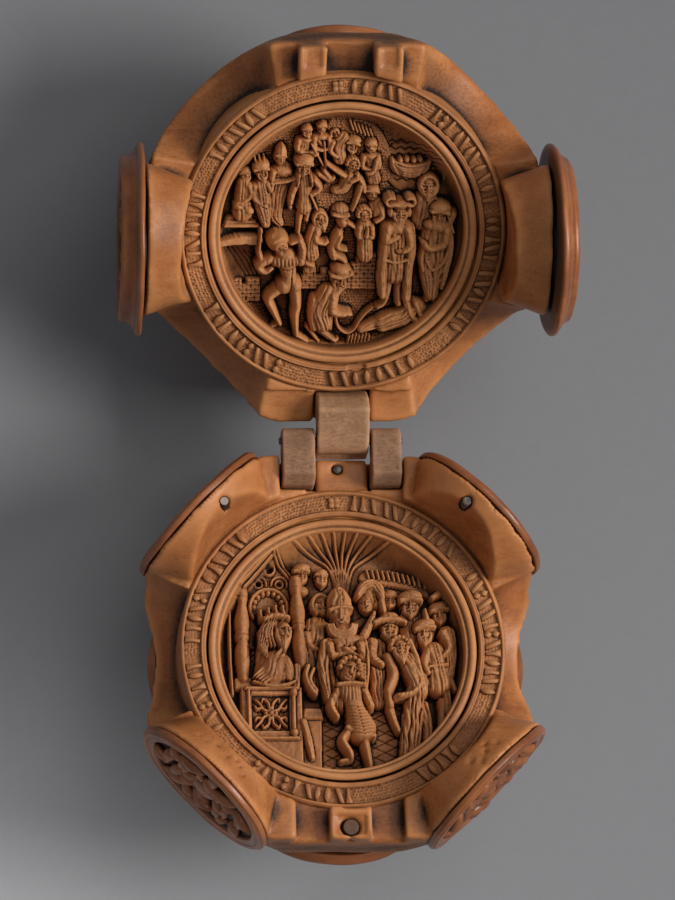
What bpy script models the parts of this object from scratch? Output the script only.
"""A boxwood prayer nut, lying open on its two domes.

Two faceted half balls are joined by a wooden hinge and stand open as a wide V.
Each half is modelled in its own frame: the parting plane is Z = 0, the dome is
below it, +Y runs from the hinge to the latch and the ball's centre is the origin.
Turned discs with sunk rosettes cover the facets; two belt discs stand on necks
of the upper half and four on necks of the lower half, and each half is scooped
out where the necks of the other half lie when the nut is closed.
"""
import math

import bmesh
import bpy
from mathutils import Matrix, Vector

MM = 0.001
GAP = 0.3 * MM
JOINT_OVERLAP = 0.1 * MM
HAIRLINE = 0.02 * MM

# The two halves and their hinge.
HINGE_DISTANCE = 26.5 * MM
HALF_TILT = math.radians(15.5)

# Facets of the shells: distances from the ball's centre.
FRONT_WALL = 25.1 * MM
BACK_WALL = 24.6 * MM
SIDE_WALL = 23.6 * MM
UPPER_CORNER_WALL = 24.4 * MM
LOWER_CORNER_WALL = 23.3 * MM
FRONT_TIER = 22.6 * MM
SIDE_TIER = 21.8 * MM
POLE_FACET = 22.8 * MM
CORNER_FACET = 26.6 * MM
TIER_SLOPE = math.radians(-45.0)
CORNER_SLOPE = math.atan(-1.0 / math.sqrt(2.0))

# The turned inscription ring and the pocket for the carved roundel.
RING_TOP = -0.9 * MM
RING_RADIUS = 20.4 * MM
POCKET_RADIUS = 17.1 * MM
POCKET_FLOOR = -13.0 * MM
SEAT_GROOVE = 0.4 * MM
SEAT_FLARE = 0.24
SEAT_TOP = 14.0 * MM

# Levels of the flat surfaces around the ring.
UPPER_RIM = -1.35 * MM
UPPER_LATCH_FLOOR = -1.8 * MM
LOWER_RIM = -1.1 * MM
LATCH_SLOT_FLOOR = -1.6 * MM
HINGE_BED = -2.0 * MM
TAB_TOP = 0.9 * MM
SIDE_BLOCK_TOP = 0.5 * MM
LATCH_BLOCK_TOP = 0.65 * MM

# Latch: two tabs of the upper half beside the block of the lower half.
TAB_LEFT = (-6.25 * MM, -2.75 * MM)
TAB_RIGHT = (3.25 * MM, 6.75 * MM)
LATCH_BLOCK = (-2.4 * MM, 2.9 * MM)
SIDE_BLOCK_REACH = 12.5 * MM
PANEL_FRAME = 0.6 * MM
PANEL_BEVEL = 0.35 * MM
PANEL_DEPTH = 0.4 * MM

# The belt of discs lies this far above the parting plane of the upper half.
BELT_RISE = 2.0 * MM

# Necks that carry the discs, as a radius at the ring and a growth outwards.
NECK_START = 15.0 * MM
NECK_RADIUS = 7.9 * MM
CORNER_NECK_GROWTH = 0.45
SIDE_NECK_GROWTH = 0.37
SIDE_NECK_HEIGHT = 0.75
TIER_NECK_GROWTH = 0.40
SCOOP_CLEARANCE = 0.45 * MM
SCOOP_END = 27.0 * MM
CORNER_SCOOP_GROWTH = 0.66
SIDE_SCOOP_GROWTH = 0.46

# Discs: radius and the distance of the underside from the ball's centre.
SIDE_DISC = (12.1 * MM, 25.3 * MM)
TALL_DISC_THICKNESS = 3.0 * MM
FLAT_DISC_THICKNESS = 1.7 * MM
CORNER_DISC = (10.5 * MM, 24.0 * MM)
FRONT_TIER_DISC = (10.4 * MM, 24.1 * MM)
SIDE_TIER_DISC = (10.0 * MM, 23.1 * MM)
POLE_DISC = (9.5 * MM, 24.3 * MM)

# Hinge: flat tongues let into the back walls, their knuckles and the pin.
KNUCKLE_RADIUS = 1.6 * MM
TONGUE_START = 20.75 * MM
TONGUE_BEVEL = 1.25 * MM
TONGUE_FOOT = -3.6 * MM
TONGUE_HEEL = 2.8 * MM
UPPER_TONGUE = (-2.75 * MM, 3.75 * MM)
LEFT_TONGUE = (-7.15 * MM, -3.05 * MM)
RIGHT_TONGUE = (4.05 * MM, 7.8 * MM)
PIN_RADIUS = 0.45 * MM
PIN_ENDS = (-7.45 * MM, 8.05 * MM)

# Small pegs and the latch plug: radius and length.
PEG = (0.55 * MM, 2.4 * MM)
PEG_DISTANCE = 22.6 * MM
PEG_SHIFT = 1.2 * MM
NAIL_PLACE = (0.0, -23.4 * MM)
PLUG = (1.05 * MM, 2.0 * MM)
PLUG_DISTANCE = 23.1 * MM

# The carved roundels.
ROUNDEL_RADIUS = POCKET_RADIUS - GAP
RELIEF_RADIUS = 15.3 * MM
RELIEF_FLOOR = -6.2 * MM
FIGURE_LEVEL = -4.9 * MM
FIGURE_DEPTH = 1.5

DISC_SIDES = 16
NECK_SIDES = 20
RING_SIDES = 48
ROUNDEL_SIDES = 32
PEG_SIDES = 8
PETALS = DISC_SIDES / 2

UP = Vector((0.0, 0.0, 1.0))
POLE = Vector((0.0, 0.0, -1.0))


def direction(azimuth, slope=0.0):
    """Unit vector at an azimuth in degrees from +X and a slope in radians."""
    turn = math.radians(azimuth)
    flat = math.cos(slope)
    return Vector((flat * math.cos(turn), flat * math.sin(turn), math.sin(slope)))


def along(axis):
    """Rotation that takes +Z to the axis."""
    return axis.to_track_quat("Z", "Y").to_matrix().to_4x4()


def clear_objects():
    for item in list(bpy.data.objects):
        bpy.data.objects.remove(item, do_unlink=True)


def wood(name, color, roughness):
    material = bpy.data.materials.new(name)
    material.use_nodes = True
    shader = material.node_tree.nodes["Principled BSDF"]
    shader.inputs["Base Color"].default_value = (*color, 1.0)
    shader.inputs["Roughness"].default_value = roughness
    shader.inputs["Metallic"].default_value = 0.0
    return material


def iron(name):
    material = wood(name, (0.10, 0.10, 0.11), 0.45)
    material.node_tree.nodes["Principled BSDF"].inputs["Metallic"].default_value = 0.9
    return material


def add_object(name, bm, material=None, parent=None):
    """Turn a bmesh into a named object with sharp creases above 30 degrees."""
    mesh = bpy.data.meshes.new(name)
    bmesh.ops.recalc_face_normals(bm, faces=bm.faces)
    bm.to_mesh(mesh)
    bm.free()
    mesh.shade_smooth()
    mesh.set_sharp_from_angle(angle=math.radians(30.0))
    item = bpy.data.objects.new(name, mesh)
    bpy.context.scene.collection.objects.link(item)
    if material:
        mesh.materials.append(material)
    item.parent = parent
    return item


def helper(name, bm, parent):
    """A cutter or a shape to be joined, kept out of the finished object."""
    item = add_object(name, bm, parent=parent)
    item.hide_render = True
    item.display_type = "WIRE"
    return item


def combine(target, tool, operation):
    modifier = target.modifiers.new(f"{operation.lower()} {tool.name}", "BOOLEAN")
    modifier.operation = operation
    modifier.solver = "EXACT"
    modifier.object = tool


def join(target, tool):
    combine(target, tool, "UNION")


def cut(target, tool):
    combine(target, tool, "DIFFERENCE")


def add_box(bm, low, high):
    size = Vector(high) - Vector(low)
    middle = (Vector(high) + Vector(low)) / 2
    matrix = Matrix.Translation(middle) @ Matrix.Diagonal((*size, 1.0))
    return bmesh.ops.create_cube(bm, size=1.0, matrix=matrix)["verts"]


def add_frustum(bm, axis, start, end, start_radius, end_radius, sides, level=0.0, height=1.0):
    """A cone cut between two distances along an axis through the point (0, 0, level).

    height flattens a level cone towards its own axis.
    """
    roll = Matrix.Rotation(math.pi / sides, 4, "Z")
    matrix = (Matrix.Translation(axis * (start + end) / 2 + UP * level)
              @ Matrix.Diagonal((1.0, 1.0, height, 1.0)) @ along(axis) @ roll)
    bmesh.ops.create_cone(bm, cap_ends=True, segments=sides, radius1=start_radius,
                          radius2=end_radius, depth=end - start, matrix=matrix)


def box_mesh(*boxes):
    bm = bmesh.new()
    for low, high in boxes:
        add_box(bm, low, high)
    return bm


def cylinder_mesh(radius, bottom, top, sides, top_radius=None):
    bm = bmesh.new()
    add_frustum(bm, UP, bottom, top, radius, top_radius or radius, sides)
    return bm


def faceted_block(facets):
    """The convex block left inside a list of (normal, distance) planes."""
    bm = bmesh.new()
    bmesh.ops.create_cube(bm, size=4 * HINGE_DISTANCE)
    for normal, distance in facets:
        everything = bm.verts[:] + bm.edges[:] + bm.faces[:]
        result = bmesh.ops.bisect_plane(bm, geom=everything, plane_co=normal * distance,
                                        plane_no=normal, clear_outer=True)
        rim = [part for part in result["geom_cut"] if isinstance(part, bmesh.types.BMEdge)]
        bmesh.ops.contextual_create(bm, geom=rim)
    return bm


def turned(profile, sides, lift=None):
    """Spin (radius, height) points about Z; both ends lie on the axis.

    lift(ring number, turn) may raise single points, as a carver's petals do.
    """
    bm = bmesh.new()
    rings = []
    for number, (radius, height) in enumerate(profile[1:-1]):
        ring = []
        for step in range(sides):
            turn = 2 * math.pi * step / sides
            raised = height + (lift(number, turn) if lift else 0.0)
            ring.append(bm.verts.new((radius * math.cos(turn), radius * math.sin(turn), raised)))
        rings.append(ring)
    first = bm.verts.new((0.0, 0.0, profile[0][1]))
    last = bm.verts.new((0.0, 0.0, profile[-1][1]))
    for step in range(sides):
        after = (step + 1) % sides
        bm.faces.new((first, rings[0][after], rings[0][step]))
        bm.faces.new((last, rings[-1][step], rings[-1][after]))
        for lower, upper in zip(rings, rings[1:]):
            bm.faces.new((lower[step], lower[after], upper[after], upper[step]))
    return bm


# ---- discs --------------------------------------------------------------------


def flat_disc_profile(radius, thickness):
    """Underside, rounded rim, flat lip and sunk rosette of a low disc."""
    floor = thickness - 0.8 * MM
    return [(0.0, 0.0), (radius, 0.0), (radius - 0.1 * MM, 0.9 * MM),
            (radius - 1.0 * MM, thickness), (radius - 2.4 * MM, thickness),
            (radius - 3.1 * MM, floor), (0.42 * radius, floor), (0.2 * radius, floor + 0.4 * MM),
            (0.0, floor + 0.4 * MM)]


def tall_disc_profile(radius, thickness):
    """A belt disc of the upper half: flange, hollow moulding and raised face."""
    floor = thickness - 0.8 * MM
    return [(0.0, 0.0), (radius, 0.0), (radius - 0.1 * MM, 1.0 * MM),
            (radius - 1.2 * MM, 1.5 * MM), (radius - 1.5 * MM, thickness - 0.5 * MM),
            (radius - 1.9 * MM, thickness), (radius - 3.6 * MM, thickness),
            (radius - 4.3 * MM, floor), (0.38 * radius, floor), (0.18 * radius, floor + 0.4 * MM),
            (0.0, floor + 0.4 * MM)]


def rosette_lift(petal_ring):
    """Raises every second point of one ring, so that petals stand up."""
    def lift(number, turn):
        if number != petal_ring:
            return 0.0
        return 0.45 * MM * max(0.0, math.cos(PETALS * turn))
    return lift


def add_disc(name, axis, disc, thickness, material, parent, level=0.0):
    """A disc on its axis; the thick ones have the belt discs' moulding."""
    radius, underside = disc
    profile = tall_disc_profile if thickness > FLAT_DISC_THICKNESS else flat_disc_profile
    points = profile(radius, thickness)
    item = add_object(name, turned(points, DISC_SIDES, rosette_lift(len(points) - 4)),
                      material, parent)
    roll = Matrix.Rotation(math.pi / DISC_SIDES, 4, "Z")
    item.matrix_local = (Matrix.Translation(axis * underside + UP * level) @ along(axis) @ roll)
    return item


def add_dome_discs(side, right, material, parent):
    """The four sloping discs and the pole disc that both halves have.

    right is the azimuth, in this half's own frame, of the object's right-hand side.
    """
    for place, azimuth, disc in (("front", 90, FRONT_TIER_DISC), ("back", 270, FRONT_TIER_DISC),
                                 ("right", right, SIDE_TIER_DISC),
                                 ("left", 180 - right, SIDE_TIER_DISC)):
        add_disc(f"{side}_slope_disc_{place}", direction(azimuth, TIER_SLOPE), disc,
                 FLAT_DISC_THICKNESS, material, parent)
    add_disc(f"{side}_pole_disc", POLE, POLE_DISC, FLAT_DISC_THICKNESS, material, parent)


# ---- shells -------------------------------------------------------------------


def shell_facets(rim, corner_wall):
    facets = [(UP, rim), (POLE, POLE_FACET)]
    for azimuth, wall, tier in ((90, FRONT_WALL, FRONT_TIER), (270, BACK_WALL, FRONT_TIER),
                                (0, SIDE_WALL, SIDE_TIER), (180, SIDE_WALL, SIDE_TIER)):
        facets.append((direction(azimuth), wall))
        facets.append((direction(azimuth, TIER_SLOPE), tier))
    for azimuth in (45, 135, 225, 315):
        facets.append((direction(azimuth), corner_wall))
        facets.append((direction(azimuth, CORNER_SLOPE), CORNER_FACET))
    return facets


def neck_radius(distance, growth):
    return NECK_RADIUS + growth * (distance - RING_RADIUS)


def add_neck(bm, axis, disc, growth, level=0.0, height=1.0):
    end = disc[1] - GAP
    add_frustum(bm, axis, NECK_START, end, neck_radius(NECK_START, growth),
                neck_radius(end, growth), NECK_SIDES, level, height)


def necks_mesh(belt_azimuths, belt_disc, belt_growth, belt_level, belt_height=1.0):
    """The necks of one half in one mesh; no two of them touch."""
    bm = bmesh.new()
    for azimuth in belt_azimuths:
        add_neck(bm, direction(azimuth), belt_disc, belt_growth, belt_level, belt_height)
    for azimuth, disc in ((90, FRONT_TIER_DISC), (270, FRONT_TIER_DISC),
                          (0, SIDE_TIER_DISC), (180, SIDE_TIER_DISC)):
        add_neck(bm, direction(azimuth, TIER_SLOPE), disc, TIER_NECK_GROWTH)
    add_neck(bm, POLE, POLE_DISC, TIER_NECK_GROWTH)
    return bm


def scoops_mesh(azimuths, growth, level, height=1.0):
    """Hollow cones in which the other half's necks lie when the nut is closed."""
    bm = bmesh.new()
    for azimuth in azimuths:
        inner = neck_radius(NECK_START, growth) + SCOOP_CLEARANCE
        outer = neck_radius(SCOOP_END, growth) + SCOOP_CLEARANCE
        add_frustum(bm, direction(azimuth), NECK_START, SCOOP_END, inner, outer, NECK_SIDES,
                    level, height)
    return bm


def add_shell(side, rim, corner_wall, necks, scoops, material, parent):
    """The block with its necks, seat, ring, scoops and pocket."""
    shell = add_object(f"{side}_shell", faceted_block(shell_facets(rim, corner_wall)),
                       material, parent)
    join(shell, helper(f"{side}_necks", necks, parent))
    seat_floor = rim - SEAT_GROOVE
    seat_top_radius = RING_RADIUS + GAP + SEAT_FLARE * (SEAT_TOP - seat_floor)
    cut(shell, helper(f"{side}_seat", cylinder_mesh(RING_RADIUS + GAP, seat_floor, SEAT_TOP,
                                                    RING_SIDES, seat_top_radius), parent))
    core = helper(f"{side}_ring_core", cylinder_mesh(RING_RADIUS - JOINT_OVERLAP, -NECK_START,
                                                     NECK_START, RING_SIDES), parent)
    scoop = helper(f"{side}_scoops", scoops, parent)
    cut(scoop, core)
    cut(shell, scoop)
    join(shell, helper(f"{side}_ring", cylinder_mesh(RING_RADIUS, 2 * POCKET_FLOOR / 3, RING_TOP,
                                                     RING_SIDES), parent))
    cut(shell, helper(f"{side}_pocket", cylinder_mesh(POCKET_RADIUS, POCKET_FLOOR, SEAT_TOP,
                                                      ROUNDEL_SIDES), parent))
    return shell


def latch_box(span, bottom, top):
    """A box over a span of X that reaches past the ring and the front wall."""
    return (span[0], POCKET_RADIUS, bottom), (span[1], 2 * FRONT_WALL, top)


def add_blocks(name, bm, side_facets, shell, parent):
    """Blocks between the ring and the front wall, flush with the shell's facets."""
    blocks = helper(name, bm, parent)
    core = helper(f"{name}_inner_end", cylinder_mesh(RING_RADIUS + GAP, -NECK_START, NECK_START,
                                                     RING_SIDES), parent)
    facets = [(normal, distance - HAIRLINE) for normal, distance in side_facets[2:]]
    limits = helper(f"{name}_limits", faceted_block(facets), parent)
    cut(blocks, core)
    combine(blocks, limits, "INTERSECT")
    join(shell, blocks)


def panel_cutter(span, top):
    """A tapered cutter that sinks a bevelled panel between the ring and the wall."""
    bm = bmesh.new()
    start = RING_RADIUS + PANEL_FRAME
    low = (span[0] + PANEL_FRAME, start, top - PANEL_DEPTH)
    high = (span[1] - PANEL_FRAME, FRONT_WALL - PANEL_FRAME, top + PANEL_DEPTH)
    verts = add_box(bm, low, high)
    middle = (Vector(low) + Vector(high)) / 2
    for vert in verts:
        if vert.co.z < top:
            vert.co.x += PANEL_BEVEL if vert.co.x < middle.x else -PANEL_BEVEL
            vert.co.y += PANEL_BEVEL if vert.co.y < middle.y else -PANEL_BEVEL
    return bm


def tongue_slot(span):
    """The slot in a back wall that holds a hinge tongue."""
    return ((span[0] - GAP, -2 * BACK_WALL, TONGUE_FOOT - GAP),
            (span[1] + GAP, -TONGUE_START + GAP, SEAT_TOP))


def mirrored(span):
    """A span of X as the lower half sees it, facing the other way."""
    return -span[1], -span[0]


def add_upper_shell(material, parent):
    necks = necks_mesh((0, 180), SIDE_DISC, SIDE_NECK_GROWTH, BELT_RISE, SIDE_NECK_HEIGHT)
    scoops = scoops_mesh((45, 135, 225, 315), CORNER_SCOOP_GROWTH, BELT_RISE)
    shell = add_shell("upper", UPPER_RIM, UPPER_CORNER_WALL, necks, scoops, material, parent)
    bed = ((LEFT_TONGUE[0] - GAP, -2 * BACK_WALL, HINGE_BED),
           (RIGHT_TONGUE[1] + GAP, -TONGUE_START + GAP, SEAT_TOP))
    recess = ((sum(TAB_LEFT) / 2, RING_RADIUS, UPPER_LATCH_FLOOR),
              (sum(TAB_RIGHT) / 2, 2 * FRONT_WALL, SEAT_TOP))
    cut(shell, helper("upper_recesses", box_mesh(bed, recess), parent))
    tabs = box_mesh(*(latch_box(span, 2 * HINGE_BED, TAB_TOP) for span in (TAB_LEFT, TAB_RIGHT)))
    add_blocks("upper_tabs", tabs, shell_facets(UPPER_RIM, UPPER_CORNER_WALL), shell, parent)
    for place, span in (("left", TAB_LEFT), ("right", TAB_RIGHT)):
        cut(shell, helper(f"upper_tab_panel_{place}", panel_cutter(span, TAB_TOP), parent))
    cut(shell, helper("upper_tongue_slot", box_mesh(tongue_slot(UPPER_TONGUE)), parent))
    return shell


def add_lower_shell(material, parent):
    necks = necks_mesh((45, 135, 225, 315), CORNER_DISC, CORNER_NECK_GROWTH, -BELT_RISE)
    scoops = scoops_mesh((0, 180), SIDE_SCOOP_GROWTH, -BELT_RISE, SIDE_NECK_HEIGHT)
    shell = add_shell("lower", LOWER_RIM, LOWER_CORNER_WALL, necks, scoops, material, parent)
    facets = shell_facets(LOWER_RIM, LOWER_CORNER_WALL)
    sides = box_mesh(latch_box((-SIDE_BLOCK_REACH, SIDE_BLOCK_REACH), 2 * HINGE_BED,
                               SIDE_BLOCK_TOP))
    add_blocks("lower_side_blocks", sides, facets, shell, parent)
    bed = ((-UPPER_TONGUE[1] - GAP, -2 * BACK_WALL, HINGE_BED),
           (-UPPER_TONGUE[0] + GAP, -TONGUE_START + GAP, SEAT_TOP))
    cut(shell, helper("lower_hinge_bed", box_mesh(bed), parent))
    slots = helper("lower_latch_slots", box_mesh(((-TAB_RIGHT[1] - GAP, POCKET_RADIUS,
                                                   LATCH_SLOT_FLOOR),
                                                  (-TAB_LEFT[0] + GAP, 2 * FRONT_WALL,
                                                   SEAT_TOP))), parent)
    cut(slots, helper("lower_slot_core", cylinder_mesh(RING_RADIUS + GAP / 2, -NECK_START,
                                                       NECK_START, RING_SIDES), parent))
    cut(shell, slots)
    span = mirrored(LATCH_BLOCK)
    latch = box_mesh(latch_box(span, 2 * HINGE_BED, LATCH_BLOCK_TOP))
    add_blocks("lower_latch_block", latch, facets, shell, parent)
    cut(shell, helper("lower_latch_panel", panel_cutter(span, LATCH_BLOCK_TOP), parent))
    tongues = box_mesh(tongue_slot(mirrored(LEFT_TONGUE)), tongue_slot(mirrored(RIGHT_TONGUE)))
    cut(shell, helper("lower_tongue_slots", tongues, parent))
    return shell


# ---- hinge --------------------------------------------------------------------


def tongue_outline(heel):
    """Side view of a tongue: bevelled inner end, flat top and round knuckle."""
    points = [(-TONGUE_START, TONGUE_FOOT), (-TONGUE_START, 0.0),
              (-TONGUE_START - TONGUE_BEVEL, KNUCKLE_RADIUS)]
    arc_end = math.pi if heel else 1.5 * math.pi
    steps = 8
    for step in range(steps + 1):
        turn = math.pi / 2 + (arc_end - math.pi / 2) * step / steps
        points.append((-HINGE_DISTANCE + KNUCKLE_RADIUS * math.cos(turn),
                       KNUCKLE_RADIUS * math.sin(turn)))
    if heel:
        points.append((-HINGE_DISTANCE - TONGUE_HEEL, -KNUCKLE_RADIUS))
    points += [(-BACK_WALL + GAP, -KNUCKLE_RADIUS), (-BACK_WALL + GAP, TONGUE_FOOT)]
    return points


def add_tongue(name, span, heel, material, parent):
    bm = bmesh.new()
    outline = [bm.verts.new((span[0], y, z)) for y, z in tongue_outline(heel)]
    face = bm.faces.new(outline)
    side = bmesh.ops.extrude_face_region(bm, geom=[face])["geom"]
    moved = [part for part in side if isinstance(part, bmesh.types.BMVert)]
    bmesh.ops.translate(bm, verts=moved, vec=(span[1] - span[0], 0.0, 0.0))
    tongue = add_object(name, bm, material, parent)
    bore = bmesh.new()
    matrix = Matrix.Translation((0.0, -HINGE_DISTANCE, 0.0)) @ along(Vector((1.0, 0.0, 0.0)))
    bmesh.ops.create_cone(bore, cap_ends=True, segments=PEG_SIDES, radius1=PIN_RADIUS + GAP,
                          radius2=PIN_RADIUS + GAP, depth=HINGE_DISTANCE, matrix=matrix)
    cut(tongue, helper(f"{name}_bore", bore, parent))
    return tongue


def add_hinge_pin(material, parent):
    bm = bmesh.new()
    ends = mirrored(PIN_ENDS)
    matrix = Matrix.Translation(((ends[0] + ends[1]) / 2, 0.0, 0.0)) @ along(Vector((1.0, 0.0, 0.0)))
    bmesh.ops.create_cone(bm, cap_ends=True, segments=PEG_SIDES, radius1=PIN_RADIUS,
                          radius2=PIN_RADIUS, depth=ends[1] - ends[0], matrix=matrix)
    pin = add_object("hinge_pin", bm, material, parent)
    pin.location = (0.0, -HINGE_DISTANCE, 0.0)


# ---- pegs ---------------------------------------------------------------------


def add_peg(name, shell, top, axis, size, material, parent):
    """A peg whose outer end is at a point, and its hole in the shell."""
    radius, length = size
    frame = Matrix.Translation(top) @ along(axis)
    peg = add_object(name, cylinder_mesh(radius, -length, 0.0, PEG_SIDES), material, parent)
    hole = helper(f"{name}_hole", cylinder_mesh(radius + GAP, -length - GAP, length, PEG_SIDES),
                  parent)
    peg.matrix_local = frame
    hole.matrix_local = frame
    cut(shell, hole)


def add_lower_pegs(shell, peg_wood, metal, plug_wood, parent):
    """Pegs on the crests of the back necks, a nail at the hinge and the latch plug."""
    crest = neck_radius(PEG_DISTANCE, CORNER_NECK_GROWTH) - BELT_RISE
    for place, azimuth, side in (("left", 315, -1), ("right", 225, 1)):
        across = direction(azimuth + 90) * side * PEG_SHIFT
        top = direction(azimuth) * PEG_DISTANCE + across + UP * crest
        add_peg(f"arm_peg_{place}", shell, top, UP, PEG, peg_wood, parent)
    nail = Vector((*NAIL_PLACE, HINGE_BED + HAIRLINE))
    add_peg("hinge_bed_nail", shell, nail, UP, PEG, metal, parent)
    span = mirrored(LATCH_BLOCK)
    plug = Vector(((span[0] + span[1]) / 2, PLUG_DISTANCE, LATCH_BLOCK_TOP - PANEL_DEPTH / 2))
    add_peg("latch_plug", shell, plug, UP, PLUG, plug_wood, parent)


# ---- carved roundels ----------------------------------------------------------


def roundel_profile():
    """Cup with a moulded frame; its floor is deepest under the middle."""
    r = ROUNDEL_RADIUS
    top = RING_TOP - 0.1 * MM
    return [(0.0, POCKET_FLOOR + GAP), (r, POCKET_FLOOR + GAP), (r, top - 0.3 * MM),
            (r - 0.35 * MM, top), (r - 0.75 * MM, top - 0.45 * MM),
            (RELIEF_RADIUS + 0.25 * MM, top - 0.55 * MM), (RELIEF_RADIUS, top - 0.95 * MM),
            (RELIEF_RADIUS - 0.5 * MM, -4.2 * MM), (RELIEF_RADIUS - 2.4 * MM, RELIEF_FLOOR),
            (0.0, RELIEF_FLOOR - 0.3 * MM)]


def figure_body(x, y, height, width):
    """A robed body standing up along Y against the floor of the cup."""
    bm = bmesh.new()
    robe = 1.35 * width * MM
    place = Matrix.Translation((x, y + 0.4 * height, FIGURE_LEVEL))
    deepen = Matrix.Diagonal((1.0, 1.0, FIGURE_DEPTH, 1.0))
    turn = Matrix.Rotation(-math.pi / 2, 4, "X")
    bmesh.ops.create_cone(bm, cap_ends=True, segments=8, radius1=robe, radius2=0.62 * robe,
                          depth=0.8 * height, matrix=place @ deepen @ turn)
    return bm


def figure_head(x, y, height):
    bm = bmesh.new()
    place = Matrix.Translation((x, y + 0.9 * height, FIGURE_LEVEL))
    deepen = Matrix.Diagonal((1.0, 1.0, FIGURE_DEPTH, 1.0))
    bmesh.ops.create_icosphere(bm, subdivisions=1, radius=0.09 * height + 0.4 * MM,
                               matrix=place @ deepen)
    return bm


def add_roundel(side, facing, figures, buildings, material, parent):
    """The cup, its standing figures and its buildings, as one piece.

    Figures are (x, foot, height, width) and buildings (left, foot, right, head),
    in millimetres with the scene standing up along Y; a width is a proportion.
    """
    scene = bpy.data.objects.new(f"{side}_scene", None)
    bpy.context.scene.collection.objects.link(scene)
    scene.parent = parent
    scene.rotation_euler.z = facing
    cup = add_object(f"{side}_roundel", turned(roundel_profile(), ROUNDEL_SIDES), material, scene)
    for number, (left, foot, right, head, top) in enumerate(buildings):
        low = (left * MM, foot * MM, RELIEF_FLOOR - MM)
        high = (right * MM, head * MM, top * MM)
        join(cup, helper(f"{side}_building_{number}", box_mesh((low, high)), scene))
    for number, (x, foot, height, width) in enumerate(figures):
        place = (x * MM, foot * MM, height * MM)
        join(cup, helper(f"{side}_figure_{number}", figure_body(*place, width), scene))
        join(cup, helper(f"{side}_head_{number}", figure_head(*place), scene))
    return cup


def add_upper_roundel(material, parent):
    """Standing and kneeling figures before a low battlement and a hill."""
    figures = [(-8.4, -10.6, 10.0, 1.1), (-1.9, -10.6, 6.6, 1.3), (6.6, -8.2, 11.6, 1.3),
               (11.2, -6.4, 10.6, 1.2), (-9.4, 2.6, 6.6, 1.0), (-5.2, 2.4, 8.6, 1.1),
               (-0.6, 4.6, 8.0, 1.1), (2.8, 2.2, 7.6, 1.0)]
    buildings = [(-12.8, -6.4, 5.6, -3.2, -5.2), (-9.5, 3.0, 4.5, 5.4, -5.4)]
    return add_roundel("upper", 0.0, figures, buildings, material, parent)


def add_lower_roundel(material, parent):
    """A crowd in front of a seated ruler under a canopy."""
    figures = [(-7.6, -3.6, 8.8, 1.2), (-0.4, -5.0, 13.4, 1.4), (0.6, -12.4, 10.6, 1.0),
               (7.2, -9.8, 11.6, 1.3), (11.4, -7.6, 10.8, 1.2), (4.2, 0.6, 8.6, 1.1),
               (8.4, 2.2, 7.6, 1.1), (-3.4, 2.8, 6.6, 0.9)]
    buildings = [(-11.4, -11.0, -5.6, -3.8, -4.2), (-12.4, 3.0, -5.0, 9.4, -4.6)]
    return add_roundel("lower", math.pi, figures, buildings, material, parent)


# ---- the two halves -----------------------------------------------------------


def half_frame(name, facing):
    """An empty in the ball centre of one half, tilted back from the hinge."""
    frame = bpy.data.objects.new(name, None)
    bpy.context.scene.collection.objects.link(frame)
    pole_lip = (POLE_DISC[0] - 1.0 * MM) * math.cos(math.pi / DISC_SIDES)
    pole_face = POLE_DISC[1] + FLAT_DISC_THICKNESS
    height = pole_face * math.cos(HALF_TILT)
    height -= (HINGE_DISTANCE - pole_lip) * math.sin(HALF_TILT)
    frame.matrix_local = (Matrix.Rotation(facing, 4, "Z") @ Matrix.Translation((0.0, 0.0, height))
                          @ Matrix.Rotation(HALF_TILT, 4, "X")
                          @ Matrix.Translation((0.0, HINGE_DISTANCE, 0.0)))
    return frame


def build():
    clear_objects()
    shell_wood = wood("waxed boxwood", (0.42, 0.19, 0.075), 0.38)
    disc_wood = wood("polished boxwood", (0.38, 0.13, 0.045), 0.3)
    relief_wood = wood("carved boxwood", (0.46, 0.24, 0.11), 0.6)
    hinge_wood = wood("newer hinge wood", (0.36, 0.22, 0.12), 0.75)
    peg_wood = wood("pale peg", (0.50, 0.45, 0.38), 0.7)
    metal = iron("dark iron")

    upper = half_frame("upper_half", 0.0)
    add_upper_shell(shell_wood, upper)
    for place, azimuth in (("right", 0), ("left", 180)):
        add_disc(f"belt_disc_{place}", direction(azimuth), SIDE_DISC, TALL_DISC_THICKNESS,
                 disc_wood, upper, BELT_RISE)
    add_dome_discs("upper", 0, disc_wood, upper)
    add_upper_roundel(relief_wood, upper)
    add_tongue("hinge_tongue", UPPER_TONGUE, True, hinge_wood, upper)

    lower = half_frame("lower_half", math.pi)
    shell = add_lower_shell(shell_wood, lower)
    for place, azimuth in (("front_right", 135), ("front_left", 45),
                           ("back_left", 315), ("back_right", 225)):
        add_disc(f"belt_disc_{place}", direction(azimuth), CORNER_DISC, FLAT_DISC_THICKNESS,
                 disc_wood, lower, -BELT_RISE)
    add_dome_discs("lower", 180, disc_wood, lower)
    add_lower_roundel(relief_wood, lower)
    add_tongue("hinge_knuckle_left", mirrored(LEFT_TONGUE), False, hinge_wood, lower)
    add_tongue("hinge_knuckle_right", mirrored(RIGHT_TONGUE), False, hinge_wood, lower)
    add_hinge_pin(metal, lower)
    add_lower_pegs(shell, peg_wood, metal, hinge_wood, lower)


build()
